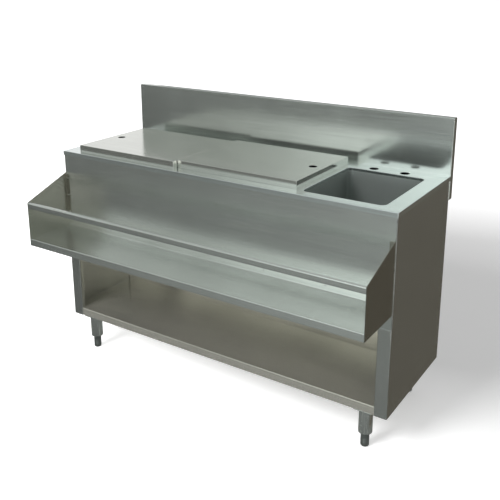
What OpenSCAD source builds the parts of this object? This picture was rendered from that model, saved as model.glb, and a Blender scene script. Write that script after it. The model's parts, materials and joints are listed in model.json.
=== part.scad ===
// Free-standing bar station: insulated ice bin under two loose lids, small sink,
// boxed backsplash, open storage base, bottle rail in front and four adjustable legs.
// Millimetres, +X to the right, +Y to the back, +Z up.
// The origin is on the floor, in the middle of the whole outline.

/* [Station] */
// Width of the deck and the backsplash
station_w = 1219; // [1000:1:1500]
// Height of the deck above the floor
deck_h = 735; // [715:1:860]
// Thickness of the deck, panels and rail sheet
sheet_t = 1.5; // [1.2:0.1:2]
// Drop of the folded lips of the deck
deck_lip = 14; // [8:1:25]
// Deck beyond each side panel
side_overhang = 3; // [2:0.5:6]
// Deck beyond the front panel
front_overhang = 2.2; // [2.2:0.1:6]

/* [Backsplash] */
// Backsplash above the deck
splash_rise = 177; // [100:1:250]
// Backsplash below the deck
splash_drop = 76; // [40:1:120]
// Thickness of the boxed backsplash
splash_t = 25; // [20:1:50]

/* [Storage base] */
// Underside of the cabinet above the floor
base_h = 128; // [110:1:180]
// Turned-down front lip of the bottom shelf
shelf_lip = 28; // [20:1:40]
// Width of the folded stile at each side of the opening
stile_w = 37; // [25:1:60]
// Front panel below the floor of the bottle rail
apron_drop = 69; // [50:1:90]
// Clear depth of the storage space
storage_depth = 289; // [240:1:320]

/* [Ice bin] */
// Left edge of the deck to the bin's left wall
bin_margin = 83.5; // [70:0.5:100]
// Right wall of the bin to the left wall of the sink
bin_to_sink = 37.25; // [36:0.25:60]
// Deck front edge to the bin's front wall
bin_front = 44; // [42:1:60]
// Clear length of the bin, front to back
bin_len = 300; // [290:1:340]
// Bin's back wall to the face of the backsplash
bin_rear = 64; // [60:1:110]
// Depth of the bin below the deck
bin_depth = 254; // [150:1:256]
// Corner radius of the bin
bin_r = 20; // [10:1:40]
// Insulation around the bin
insulation_t = 25; // [15:1:25]
// Rim turned up around the bin opening
rim_rise = 10; // [6:1:11]

/* [Lids] */
// Height of the lids over the deck
lid_h = 24.5; // [24:0.5:40]
// Lids beyond the bin at each end
lid_overlap = 20; // [10:0.5:26]
// Right lid wider than the left one
lid_difference = 23.5; // [0:0.5:60]
// Lids longer than the bin, front to back
lid_excess = 31; // [29:0.5:33]
// Gap between the two lids
lid_seam = 1.5; // [1:0.5:4]
// Left lid ahead of the bin's front wall
left_lid_lead = 25.5; // [15:0.5:25.5]
// Right lid ahead of the bin's front wall
right_lid_lead = 5.5; // [4:0.5:15]
// Diameter of the finger hole in each lid
finger_d = 25.4; // [20:0.1:35]
// Outer end of each lid to the middle of its finger hole
finger_inset = 37.5; // [30:0.5:60]

/* [Sink] */
// Clear width of the bowl
sink_w = 251.5; // [220:0.5:256]
// Clear length of the bowl, front to back
sink_len = 305; // [250:1:306]
// Right edge of the deck to the bowl
sink_margin = 52.75; // [40:0.25:60]
// Deck front edge to the bowl
sink_front = 36.5; // [30:0.5:45]
// Depth of the bowl below the deck
sink_depth = 254; // [150:1:256]
// Corner radius of the bowl
sink_r = 19; // [8:1:30]

/* [Faucet holes] */
// Distance between the two faucet holes
faucet_pitch = 101.6; // [90:0.1:110]
// Diameter of the faucet holes
faucet_d = 28.6; // [22:0.1:35]
// Face of the backsplash to the middle of the holes
faucet_back = 43; // [33:1:45]

/* [Bottle rail] */
// Rail beyond the front edge of the deck
rail_projection = 173; // [120:1:220]
// Floor of the rail above the ground
rail_floor_h = 469; // [450:1:480]
// Turned-down front lip of the rail floor
rail_lip = 24; // [15:1:35]
// Top of the guard above the ground
guard_h = 595; // [560:1:620]
// Face of the guard
guard_face = 21.5; // [15:0.5:35]
// Flat top of the guard
guard_flat = 13.5; // [8:0.5:25]
// Top of the end panels where they meet the cabinet
rail_back_h = 659.5; // [640:0.5:690]

/* [Legs] */
// Diameter of the leg tube
tube_d = 41.3; // [35:0.1:50]
// Wall of the leg tube
tube_t = 1.6; // [1.2:0.1:2.5]
// Side panel's outer face to the middle of a leg
leg_inset = 73.5; // [60:0.5:120]
// Deck front edge to the middle of the front legs
leg_front = 32; // [32:1:60]
// Face of the backsplash to the middle of the back legs
leg_rear = 36.5; // [32:0.5:60]
// Diameter of the foot
foot_d = 25.4; // [20:0.1:28]
// Foot below the collar
foot_show = 42; // [30:1:50]

/* [Drains] */
// Outer diameter of the sink drain's thread
sink_thread_d = 48.3; // [40:0.1:55]
// Outer diameter of the bin drain's thread
bin_thread_d = 33.4; // [28:0.1:38]
// Outer diameter of the sink tailpiece
sink_tail_d = 38.1; // [32:0.1:40]
// Outer diameter of the bin tailpiece
bin_tail_d = 25.4; // [20:0.1:27]
// Length of both tailpieces
tail_len = 100; // [60:1:130]

/* [Hidden] */
$fn = 64;

// Overrun of every cut, and the gaps between separate pieces
overrun = 1;
seat_gap = 0.3;
fit_gap = 0.1;
slide_gap = 0.05;

// Colours of the finishes
steel = [0.62, 0.65, 0.63];
bright_steel = [0.80, 0.83, 0.82];
dark_steel = [0.42, 0.44, 0.42];
foam = [0.90, 0.82, 0.62];
rubber = [0.12, 0.12, 0.12];

// Whole outline
deck_depth = bin_front + bin_len + bin_rear;
overall_depth = rail_projection + deck_depth + splash_t;
front_y = rail_projection - overall_depth / 2;
half_w = station_w / 2;
deck_under = deck_h - sheet_t;
splash_low = deck_h - splash_drop;
splash_high = deck_h + splash_rise;

// Cabinet
cab_half = half_w - side_overhang;
cab_inner = cab_half - sheet_t;
panel_back = front_overhang + sheet_t;
shelf_h = base_h + shelf_lip;
shelf_under = shelf_h - sheet_t;
storage_back = front_overhang + storage_depth;
apron_bottom = rail_floor_h - apron_drop;
hem = 6;
return_flange = 11;
rear_lip = 14;
channel_w = 40;
channel_h = 20;
channel_brim = 12;
channel_end = 60;
rear_channel_h = 14;
rear_channel_w = 26;
rear_channel_clear = 3;

// Ice bin and sink sheet
liner_t = 1.2;
jacket_t = 0.9;
bin_flange = 12;
sink_flange = 8;
sink_x = half_w - sink_margin - sink_w;
sink_mid = sink_x + sink_w / 2;
sink_right = sink_x + sink_w;
sink_back = sink_front + sink_len;
sink_floor = deck_h - sink_depth;
bin_x = bin_margin - half_w;
bin_right = sink_x - bin_to_sink;
bin_w = bin_right - bin_x;
bin_back = bin_front + bin_len;
bin_floor = deck_h - bin_depth;
shell_t = liner_t + insulation_t;
bin_stack = shell_t + jacket_t;
jacket_bottom = bin_floor - bin_stack;

// Lids
lid_t = 1.2;
lid_hem = 12;
lid_len = bin_len + lid_excess;
left_lid_front = bin_front - left_lid_lead;
right_lid_front = bin_front - right_lid_lead;
left_lid_w = (bin_w + 2 * lid_overlap - lid_seam - lid_difference) / 2;
right_lid_w = left_lid_w + lid_difference;
left_lid_x = bin_x - lid_overlap;
seam_x = left_lid_x + left_lid_w + lid_seam;
lid_top = deck_h + seat_gap + lid_h;
stiffener_w = 50;
stiffener_h = 10;
stiffener_side_gap = 8;

// Drains
drain_flange_t = 2;
drain_flange_margin = 8;
drain_wall = 3.5;
drain_gasket_t = 3;
drain_nut_t = 10;
drain_nut_margin = 9;
drain_thread_end = 12;
tail_socket = 18;
tail_wall = 1.5;
tail_neck_step = 1;
grid_t = 1.2;
grid_hole_d = 4;
grid_inner_count = 6;
grid_outer_count = 12;
grid_inner_share = 0.34;
grid_outer_share = 0.72;
nut_sides = 6;

// Bottle rail
rail_bottom = rail_floor_h - rail_lip;
rail_upstand = 30;
rail_hem = 11;
guard_hem = 8;
end_flange = 15;
end_flange_gap = 5;
screw_d = 5;
screw_head_d = 10;
screw_head_t = 2.5;
end_screw_count = 3;
floor_screw_count = 5;

// Legs and feet
leg_x = cab_half - leg_inset;
leg_back = deck_depth - leg_rear;
bracket_w = 57;
bracket_plate_t = 3;
collar_drop = 7;
collar_foot_d = 28;
collar_inside = 26;
foot_chamfer = 5;
foot_inside = 28;
tube_bottom = foot_show + collar_drop;
bracket_top = shelf_under - sheet_t;

// Everything is measured from the front edge of the deck, then set about the origin
module placed() {
    translate([0, front_y, 0]) children();
}

// Flat rectangle with rounded corners
module rounded_rect(size, radius) {
    translate([radius, 0]) square([size.x - 2 * radius, size.y]);
    translate([0, radius]) square([size.x, size.y - 2 * radius]);
    for (x = [radius, size.x - radius], y = [radius, size.y - radius])
        translate([x, y]) circle(r = radius);
}

// Upright block with rounded corners, grown on every side by a margin
module rounded_block(corner, size, radius, bottom, top, grow = 0) {
    translate([corner.x - grow, corner.y - grow, bottom])
        linear_extrude(top - bottom)
            rounded_rect([size.x + 2 * grow, size.y + 2 * grow], radius + grow);
}

// Block between two corners
module span(low, high) {
    translate(low) cube(high - low);
}

// Folded channel along X, its open side up and its two brims at the top
module channel(x_low, x_high, y_mid, top, width, height, brim) {
    for (side = [-1, 1]) {
        web_y = y_mid + side * (width / 2 - sheet_t / 2);
        brim_y = y_mid + side * (width / 2 + brim / 2);
        translate([x_low, web_y - sheet_t / 2, top - height])
            cube([x_high - x_low, sheet_t, height]);
        translate([x_low, brim_y - brim / 2, top - sheet_t])
            cube([x_high - x_low, brim, sheet_t]);
    }
    translate([x_low, y_mid - width / 2, top - height])
        cube([x_high - x_low, width, sheet_t]);
}

// Deck

module bin_opening(bottom, top, grow = 0) {
    rounded_block([bin_x, bin_front], [bin_w, bin_len], bin_r, bottom, top, grow);
}

module sink_opening(bottom, top, grow = 0) {
    rounded_block([sink_x, sink_front], [sink_w, sink_len], sink_r, bottom, top, grow);
}

// The whole deck sheet, with its folded lips and its openings
module deck_sheet() {
    difference() {
        union() {
            span([-half_w, 0, deck_under], [half_w, deck_depth, deck_h]);
            span([-half_w, 0, deck_h - deck_lip], [half_w, sheet_t, deck_h]);
            for (x = [-half_w, half_w - sheet_t])
                span([x, 0, deck_h - deck_lip], [x + sheet_t, deck_depth, deck_h]);
        }
        bin_opening(deck_under - overrun, deck_h + overrun);
        sink_opening(deck_under - overrun, deck_h + overrun);
        for (side = [-1, 1])
            translate([sink_mid + side * faucet_pitch / 2, deck_depth - faucet_back, deck_under - overrun])
                cylinder(d = faucet_d, h = sheet_t + 2 * overrun);
    }
}

// Part of the deck sheet inside one or more areas, each with its low and high corner
module deck_part(areas) {
    color(bright_steel) placed() intersection() {
        deck_sheet();
        for (area = areas)
            span([area[0].x, area[0].y, deck_h - deck_lip], [area[1].x, area[1].y, deck_h]);
    }
}

module deck_front_strip() {
    deck_part([
        [[-half_w, 0], [bin_right, bin_front]],
        [[bin_right, 0], [half_w, sink_front]]
    ]);
}

module deck_back_strip() {
    deck_part([[[bin_x, bin_back], [bin_right, deck_depth]]]);
}

// The ends and the bridge take the rounded corners of the openings beside them
module deck_left_end() {
    deck_part([
        [[-half_w, bin_front], [bin_x, deck_depth]],
        [[bin_x, bin_front], [bin_x + bin_r, bin_back]]
    ]);
}

module deck_right_end() {
    deck_part([
        [[sink_right, sink_front], [half_w, deck_depth]],
        [[sink_right - sink_r, sink_front], [sink_right, sink_back]]
    ]);
}

module deck_bridge() {
    deck_part([
        [[bin_right, sink_front], [sink_x, deck_depth]],
        [[bin_right - bin_r, bin_front], [bin_right, bin_back]],
        [[sink_x, sink_front], [sink_x + sink_r, sink_back]]
    ]);
}

module deck_faucet_ledge() {
    deck_part([[[sink_x, sink_back], [sink_right, deck_depth]]]);
}

// Rim that keeps spills out of the bin, under the edges of the lids
module bin_rim() {
    color(bright_steel) placed() difference() {
        bin_opening(deck_h, deck_h + rim_rise, sheet_t);
        bin_opening(deck_h - overrun, deck_h + rim_rise + overrun);
    }
}

// Stiffens the ledge behind the bin
module deck_rear_channel() {
    channel_y = deck_depth - sheet_t - rear_channel_clear - rear_channel_w / 2;
    color(steel) placed()
        channel(-cab_inner + rear_channel_clear, bin_right, channel_y,
            deck_under, rear_channel_w - 2 * rear_channel_clear, rear_channel_h, rear_channel_clear);
}

// Backsplash

module backsplash_shell() {
    color(steel) placed() difference() {
        span([sheet_t - half_w, deck_depth, splash_low],
            [half_w - sheet_t, deck_depth + splash_t, splash_high]);
        span([-half_w, deck_depth + sheet_t, splash_low + sheet_t],
            [half_w, deck_depth + splash_t - sheet_t, splash_high - sheet_t]);
    }
}

module backsplash_cap(x) {
    color(steel) placed()
        span([x, deck_depth, splash_low], [x + sheet_t, deck_depth + splash_t, splash_high]);
}

module backsplash_brace() {
    brace_low = deck_h + (splash_rise - channel_w) / 2;
    color(steel) placed() difference() {
        span([channel_end - half_w, deck_depth + sheet_t, brace_low],
            [half_w - channel_end, deck_depth + splash_t - sheet_t, brace_low + channel_w]);
        span([-half_w, deck_depth + 2 * sheet_t, brace_low + sheet_t],
            [half_w, deck_depth + splash_t - 2 * sheet_t, brace_low + channel_w - sheet_t]);
    }
}

// Cabinet

module front_panel() {
    color(steel) placed() difference() {
        union() {
            span([-cab_half, front_overhang, apron_bottom], [cab_half, panel_back, deck_under]);
            span([-cab_inner, panel_back, apron_bottom],
                [cab_inner, panel_back + return_flange, apron_bottom + sheet_t]);
        }
        rail_screw_holes();
    }
}

// Side panel with its folded stile at the front and a hem underneath
module side_panel(side) {
    inner_stile = cab_half - stile_w;
    color(steel) placed() mirror([side < 0 ? 1 : 0, 0, 0]) {
        span([cab_inner, panel_back, base_h], [cab_half, deck_depth, deck_under]);
        span([inner_stile, front_overhang, base_h], [cab_half, panel_back, apron_bottom]);
        span([inner_stile, panel_back, shelf_h],
            [inner_stile + sheet_t, panel_back + return_flange, apron_bottom]);
        span([cab_inner - hem, panel_back, base_h], [cab_inner, deck_depth, base_h + sheet_t]);
    }
}

module back_panel() {
    color(steel) placed()
        span([-cab_inner, deck_depth - sheet_t, base_h + sheet_t],
            [cab_inner, deck_depth, deck_under]);
}

module storage_back_panel() {
    color(steel) placed()
        span([-cab_inner, storage_back, shelf_h],
            [cab_inner, storage_back + sheet_t, jacket_bottom]);
}

module bottom_shelf() {
    lip_half = cab_half - stile_w;
    shelf_back = deck_depth - sheet_t;
    color(bright_steel) placed() {
        span([-cab_inner, panel_back, shelf_under], [cab_inner, shelf_back, shelf_h]);
        span([-lip_half, front_overhang, base_h], [lip_half, panel_back, shelf_h]);
        span([-lip_half, panel_back, base_h], [lip_half, panel_back + hem, base_h + sheet_t]);
        span([-cab_inner, shelf_back - sheet_t, shelf_under - rear_lip],
            [cab_inner, shelf_back, shelf_under]);
    }
}

module shelf_channel() {
    color(steel) placed()
        channel(channel_end - leg_x, leg_x - channel_end, deck_depth / 2,
            shelf_under, channel_w, channel_h, channel_brim);
}

// Ice bin

module ice_bin_liner() {
    color(steel) placed() difference() {
        union() {
            bin_opening(bin_floor - liner_t, deck_under, liner_t);
            bin_opening(deck_under - liner_t, deck_under, liner_t + bin_flange);
        }
        bin_opening(bin_floor, deck_under + overrun);
        drain_hole(bin_drain_place(), bin_thread_d, bin_floor);
    }
}

module ice_bin_insulation() {
    foam_top = deck_under - liner_t;
    color(foam) placed() difference() {
        bin_opening(bin_floor - shell_t, foam_top, shell_t);
        bin_opening(bin_floor - liner_t, foam_top + overrun, liner_t);
        drain_hole(bin_drain_place(), bin_thread_d, bin_floor);
    }
}

module ice_bin_jacket() {
    jacket_top = deck_under - liner_t;
    color(steel) placed() difference() {
        bin_opening(jacket_bottom, jacket_top, shell_t + jacket_t);
        bin_opening(jacket_bottom + jacket_t, jacket_top + overrun, shell_t);
        drain_hole(bin_drain_place(), bin_thread_d, bin_floor);
    }
}

// Sink

module sink_bowl() {
    color(steel) placed() difference() {
        union() {
            sink_opening(sink_floor - liner_t, deck_under, liner_t);
            sink_opening(deck_under - liner_t, deck_under, liner_t + sink_flange);
        }
        sink_opening(sink_floor, deck_under + overrun);
        drain_hole(sink_drain_place(), sink_thread_d, sink_floor);
    }
}

// Drains: a flanged threaded body, a gasket and a nut below, a tailpiece and a grid

function bin_drain_place() = [bin_x + bin_w / 2, bin_front + bin_len / 2];
function sink_drain_place() = [sink_mid, sink_front + sink_len / 2];

module drain_hole(place, thread_d, floor_z) {
    translate([place.x, place.y, floor_z - bin_stack - overrun])
        cylinder(d = thread_d + 2 * fit_gap, h = bin_stack + 2 * overrun);
}

// stack is the thickness held between the flange and the gasket
function drain_length(stack) = stack + drain_gasket_t + drain_nut_t + drain_thread_end;

module drain_body(place, thread_d, tail_d, floor_z, stack) {
    length = drain_length(stack);
    bore_d = tail_d - tail_neck_step - 2 * tail_wall;
    color(bright_steel) placed() translate([place.x, place.y, floor_z]) difference() {
        union() {
            translate([0, 0, -length]) cylinder(d = thread_d, h = length);
            cylinder(d = thread_d + 2 * drain_flange_margin, h = drain_flange_t);
        }
        translate([0, 0, -length - overrun])
            cylinder(d = bore_d, h = length + drain_flange_t + 2 * overrun);
        translate([0, 0, -length - overrun])
            cylinder(d = tail_d - tail_neck_step + 2 * fit_gap, h = tail_socket + overrun);
    }
}

module drain_gasket(place, thread_d, floor_z, stack) {
    color(rubber) placed()
        translate([place.x, place.y, floor_z - stack - drain_gasket_t]) difference() {
            cylinder(d = thread_d + 2 * drain_nut_margin, h = drain_gasket_t);
            translate([0, 0, -overrun])
                cylinder(d = thread_d + 2 * fit_gap, h = drain_gasket_t + 2 * overrun);
        }
}

module drain_nut(place, thread_d, floor_z, stack) {
    color(bright_steel) placed()
        translate([place.x, place.y, floor_z - stack - drain_gasket_t - drain_nut_t]) difference() {
            cylinder(d = thread_d + 2 * drain_nut_margin, h = drain_nut_t, $fn = nut_sides);
            translate([0, 0, -overrun])
                cylinder(d = thread_d + 2 * fit_gap, h = drain_nut_t + 2 * overrun);
        }
}

// The neck at the top of a tailpiece fits in the body's socket
module drain_tail(place, tail_d, floor_z, stack) {
    tail_top = floor_z - drain_length(stack) + tail_socket;
    color(bright_steel) placed() translate([place.x, place.y, tail_top - tail_len]) difference() {
        union() {
            cylinder(d = tail_d, h = tail_len - tail_socket);
            cylinder(d = tail_d - tail_neck_step, h = tail_len);
        }
        translate([0, 0, -overrun])
            cylinder(d = tail_d - tail_neck_step - 2 * tail_wall, h = tail_len + 2 * overrun);
    }
}

module drain_grid(place, thread_d, floor_z) {
    color(steel) placed()
        translate([place.x, place.y, floor_z + drain_flange_t]) difference() {
            cylinder(d = thread_d, h = grid_t);
            grid_ring(thread_d * grid_inner_share / 2, grid_inner_count);
            grid_ring(thread_d * grid_outer_share / 2, grid_outer_count);
            translate([0, 0, -overrun]) cylinder(d = grid_hole_d, h = grid_t + 2 * overrun);
        }
}

module grid_ring(radius, count) {
    for (turn = [0:count - 1])
        rotate([0, 0, 360 * turn / count]) translate([radius, 0, -overrun])
            cylinder(d = grid_hole_d, h = grid_t + 2 * overrun);
}

// Bottle rail

module rail_trough() {
    color(steel) placed() difference() {
        union() {
            span([-cab_inner, -rail_projection, rail_floor_h - sheet_t],
                [cab_inner, front_overhang, rail_floor_h]);
            span([-cab_inner, -rail_projection, rail_bottom],
                [cab_inner, sheet_t - rail_projection, rail_floor_h]);
            span([-cab_inner, -rail_projection, rail_bottom],
                [cab_inner, rail_hem - rail_projection, rail_bottom + sheet_t]);
            span([-cab_inner, front_overhang - sheet_t, rail_floor_h - sheet_t],
                [cab_inner, front_overhang, rail_floor_h + rail_upstand]);
        }
        rail_screw_holes();
    }
}

module rail_guard() {
    color(steel) placed() {
        span([-cab_inner, -rail_projection, guard_h - sheet_t],
            [cab_inner, guard_flat - rail_projection, guard_h]);
        span([-cab_inner, -rail_projection, guard_h - guard_face],
            [cab_inner, sheet_t - rail_projection, guard_h]);
        span([-cab_inner, -rail_projection, guard_h - guard_face],
            [cab_inner, guard_hem - rail_projection, guard_h - guard_face + sheet_t]);
    }
}

// End panel with a sloped top edge and a folded flange against the cabinet
module rail_end(side) {
    flange_low = rail_floor_h + rail_upstand + end_flange_gap;
    color(steel) placed() difference() {
        mirror([side < 0 ? 1 : 0, 0, 0]) {
            translate([cab_inner, 0, 0]) rotate([90, 0, 90]) linear_extrude(sheet_t)
                polygon([
                    [-rail_projection, rail_bottom],
                    [front_overhang, rail_bottom],
                    [front_overhang, rail_back_h],
                    [-rail_projection, guard_h]
                ]);
            span([cab_inner - end_flange, front_overhang - sheet_t, flange_low],
                [cab_inner, front_overhang, rail_back_h - end_flange_gap]);
        }
        rail_screw_holes();
    }
}

// Screws hold the end flanges and the upstand of the floor to the front panel
function end_screw_z(index) =
    let (low = rail_floor_h + rail_upstand + end_flange_gap + end_flange,
         high = rail_back_h - end_flange_gap - end_flange)
    low + (high - low) * index / (end_screw_count - 1);

module at_rail_screws() {
    for (side = [-1, 1], index = [0:end_screw_count - 1])
        translate([side * (cab_inner - end_flange / 2), 0, end_screw_z(index)]) children();
    for (index = [0:floor_screw_count - 1])
        translate([
            station_w * ((index + 1) / (floor_screw_count + 1) - 1 / 2),
            0,
            rail_floor_h + rail_upstand / 2
        ]) children();
}

module rail_screw_holes() {
    at_rail_screws()
        translate([0, panel_back + overrun, 0]) rotate([90, 0, 0])
            cylinder(d = screw_d + 2 * fit_gap, h = 2 * sheet_t + 2 * overrun);
}

module rail_screws() {
    color(bright_steel) placed() at_rail_screws() {
        translate([0, panel_back, 0]) rotate([90, 0, 0]) cylinder(d = screw_d, h = 2 * sheet_t);
        translate([0, panel_back + screw_head_t, 0]) rotate([90, 0, 0])
            cylinder(d = screw_head_d, h = screw_head_t);
    }
}

// Legs

module at_leg(side, y) {
    translate([side * leg_x, y, 0]) children();
}

// Bracket under the shelf: bottom plate with the leg hole, two webs and a top plate
module leg_bracket(side, y) {
    half = bracket_w / 2;
    web_front = max(-half, panel_back + hem + sheet_t - y);
    color(steel) placed() at_leg(side, y) {
        difference() {
            span([-half, -half, base_h - bracket_plate_t], [half, half, base_h]);
            translate([0, 0, base_h - bracket_plate_t - overrun])
                cylinder(d = tube_d + 2 * slide_gap, h = bracket_plate_t + 2 * overrun);
        }
        span([-half, web_front, bracket_top], [half, half, shelf_under]);
        for (x = [-half, half - sheet_t])
            span([x, web_front, base_h], [x + sheet_t, half, shelf_under]);
    }
}

module leg_tube(side, y) {
    length = bracket_top - tube_bottom;
    color(steel) placed() at_leg(side, y) translate([0, 0, tube_bottom]) difference() {
        cylinder(d = tube_d, h = length);
        translate([0, 0, -overrun]) cylinder(d = tube_d - 2 * tube_t, h = length + 2 * overrun);
    }
}

// Collar pressed into the tube, with a cone below it and the bore of the foot
module leg_collar(side, y) {
    inner_r = foot_d / 2 + slide_gap;
    plug_r = tube_d / 2 - tube_t;
    color(dark_steel) placed() at_leg(side, y) rotate_extrude()
        polygon([
            [inner_r, foot_show],
            [collar_foot_d / 2, foot_show],
            [tube_d / 2, tube_bottom],
            [plug_r, tube_bottom],
            [plug_r, tube_bottom + collar_inside],
            [inner_r, tube_bottom + collar_inside]
        ]);
}

module foot(side, y) {
    radius = foot_d / 2;
    color(dark_steel) placed() at_leg(side, y) rotate_extrude()
        polygon([
            [0, 0],
            [radius - foot_chamfer, 0],
            [radius, foot_chamfer],
            [radius, foot_show + foot_inside],
            [0, foot_show + foot_inside]
        ]);
}

// Lids

// Pan lid with three full flanges. Its inner end has a short hem above the rim,
// and goes down to the deck in front of the rim and behind it.
module lid(x_low, x_high, y_low, inner_side, hole_x) {
    y_high = y_low + lid_len;
    bottom = deck_h + seat_gap;
    outer_x = inner_side > 0 ? x_low : x_high - lid_t;
    inner_x = inner_side > 0 ? x_high - lid_t : x_low;
    rim_front = bin_front - sheet_t;
    rim_back = bin_back + sheet_t;
    color(bright_steel) placed() difference() {
        union() {
            span([x_low, y_low, lid_top - lid_t], [x_high, y_high, lid_top]);
            for (y = [y_low, y_high - lid_t])
                span([x_low, y, bottom], [x_high, y + lid_t, lid_top]);
            span([outer_x, y_low, bottom], [outer_x + lid_t, y_high, lid_top]);
            span([inner_x, y_low, lid_top - lid_hem], [inner_x + lid_t, y_high, lid_top]);
            span([inner_x, y_low, bottom], [inner_x + lid_t, rim_front - seat_gap, lid_top]);
            span([inner_x, rim_back + seat_gap, bottom], [inner_x + lid_t, y_high, lid_top]);
        }
        translate([hole_x, y_low + lid_len / 2, lid_top - lid_t - overrun])
            cylinder(d = finger_d, h = lid_t + 2 * overrun);
    }
}

// Flat bar folded down at both edges, across the middle of a lid
module lid_stiffener(x_mid, y_low) {
    low = [x_mid - stiffener_w / 2, y_low + stiffener_side_gap, lid_top - lid_t - stiffener_h];
    high = [x_mid + stiffener_w / 2, y_low + lid_len - stiffener_side_gap, lid_top - lid_t];
    color(steel) placed() difference() {
        span(low, high);
        span([low.x + lid_t, low.y - overrun, low.z - overrun],
            [high.x - lid_t, high.y + overrun, high.z - lid_t]);
    }
}

module left_lid() {
    lid(left_lid_x, left_lid_x + left_lid_w, left_lid_front, 1, left_lid_x + finger_inset);
}

module right_lid() {
    right_end = seam_x + right_lid_w;
    lid(seam_x, right_end, right_lid_front, -1, right_end - finger_inset);
}

deck_front_strip();
deck_back_strip();
deck_left_end();
deck_right_end();
deck_bridge();
deck_faucet_ledge();
bin_rim();
deck_rear_channel();
backsplash_shell();
backsplash_cap(-half_w);  // backsplash_left_cap
backsplash_cap(half_w - sheet_t);  // backsplash_right_cap
backsplash_brace();
front_panel();
side_panel(-1);  // left_side_panel
side_panel(1);  // right_side_panel
back_panel();
storage_back_panel();
bottom_shelf();
shelf_channel();
ice_bin_liner();
ice_bin_insulation();
ice_bin_jacket();
drain_body(bin_drain_place(), bin_thread_d, bin_tail_d, bin_floor, bin_stack);  // ice_bin_drain_body
drain_gasket(bin_drain_place(), bin_thread_d, bin_floor, bin_stack);  // ice_bin_drain_gasket
drain_nut(bin_drain_place(), bin_thread_d, bin_floor, bin_stack);  // ice_bin_drain_nut
drain_tail(bin_drain_place(), bin_tail_d, bin_floor, bin_stack);  // ice_bin_drain_tail
drain_grid(bin_drain_place(), bin_thread_d, bin_floor);  // ice_bin_drain_grid
sink_bowl();
drain_body(sink_drain_place(), sink_thread_d, sink_tail_d, sink_floor, liner_t);  // sink_drain_body
drain_gasket(sink_drain_place(), sink_thread_d, sink_floor, liner_t);  // sink_drain_gasket
drain_nut(sink_drain_place(), sink_thread_d, sink_floor, liner_t);  // sink_drain_nut
drain_tail(sink_drain_place(), sink_tail_d, sink_floor, liner_t);  // sink_drain_tail
drain_grid(sink_drain_place(), sink_thread_d, sink_floor);  // sink_drain_grid
rail_trough();
rail_guard();
rail_end(-1);  // rail_left_end
rail_end(1);  // rail_right_end
rail_screws();
leg_bracket(-1, leg_front);  // leg_bracket_front_left
leg_bracket(1, leg_front);  // leg_bracket_front_right
leg_bracket(-1, leg_back);  // leg_bracket_back_left
leg_bracket(1, leg_back);  // leg_bracket_back_right
leg_tube(-1, leg_front);  // leg_tube_front_left
leg_tube(1, leg_front);  // leg_tube_front_right
leg_tube(-1, leg_back);  // leg_tube_back_left
leg_tube(1, leg_back);  // leg_tube_back_right
leg_collar(-1, leg_front);  // leg_collar_front_left
leg_collar(1, leg_front);  // leg_collar_front_right
leg_collar(-1, leg_back);  // leg_collar_back_left
leg_collar(1, leg_back);  // leg_collar_back_right
foot(-1, leg_front);  // foot_front_left
foot(1, leg_front);  // foot_front_right
foot(-1, leg_back);  // foot_back_left
foot(1, leg_back);  // foot_back_right
left_lid();
lid_stiffener(left_lid_x + left_lid_w / 2, left_lid_front);  // left_lid_stiffener
right_lid();
lid_stiffener(seam_x + right_lid_w / 2, right_lid_front);  // right_lid_stiffener
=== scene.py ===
import json
import math

import bmesh
import bpy
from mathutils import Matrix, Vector


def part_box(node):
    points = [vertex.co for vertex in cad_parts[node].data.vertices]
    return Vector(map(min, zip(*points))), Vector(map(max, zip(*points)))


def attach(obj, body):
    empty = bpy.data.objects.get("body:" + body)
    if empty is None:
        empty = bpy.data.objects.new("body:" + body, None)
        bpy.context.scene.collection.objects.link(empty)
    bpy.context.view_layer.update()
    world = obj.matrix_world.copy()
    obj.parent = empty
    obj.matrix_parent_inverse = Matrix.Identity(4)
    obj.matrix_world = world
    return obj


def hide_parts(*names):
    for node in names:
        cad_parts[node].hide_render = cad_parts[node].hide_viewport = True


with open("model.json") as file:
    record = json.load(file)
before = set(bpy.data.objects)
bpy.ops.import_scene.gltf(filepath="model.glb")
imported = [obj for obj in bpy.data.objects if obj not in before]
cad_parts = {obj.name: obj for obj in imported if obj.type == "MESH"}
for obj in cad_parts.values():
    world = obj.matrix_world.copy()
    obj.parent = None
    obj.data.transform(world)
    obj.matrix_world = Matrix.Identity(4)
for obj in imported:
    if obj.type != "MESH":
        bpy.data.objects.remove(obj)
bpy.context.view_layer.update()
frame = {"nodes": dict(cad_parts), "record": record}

nodes = frame["nodes"]
print("bar station: frame loaded,", len(nodes), "nodes")

# Camera, seen from the right of the front and a little above the deck
photoView = {
    "place": (1.2624, -1.8171, 1.3378),
    "turn": 33.006,
    "pitch": -15.422,
    "focalPixels": 731.09,
    "imageSide": 500,
    "sensor": 36.0,
    "shiftX": -0.006,
    "shiftY": -0.16,
    "farthest": 60,
}


def makeCamera(v):
    data = bpy.data.cameras.new("photoCamera")
    cam = bpy.data.objects.new("photoCamera", data)
    bpy.context.scene.collection.objects.link(cam)
    cam.location = v["place"]
    cam.rotation_euler = (math.radians(90 + v["pitch"]), 0, math.radians(v["turn"]))
    data.sensor_width = v["sensor"]
    data.lens = v["focalPixels"] / v["imageSide"] * v["sensor"]
    data.shift_x = v["shiftX"]
    data.shift_y = v["shiftY"]
    data.clip_end = v["farthest"]
    bpy.context.scene.camera = cam


makeCamera(photoView)
bpy.context.scene.view_settings.view_transform = "Standard"


# Screen colour, 0 to 255, as the linear colour that shaders take
def srgb(r, g, b):
    shares = [c / 255 for c in (r, g, b)]
    return tuple(s / 12.92 if s <= 0.04045 else ((s + 0.055) / 1.055) ** 2.4 for s in shares) + (1.0,)


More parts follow.
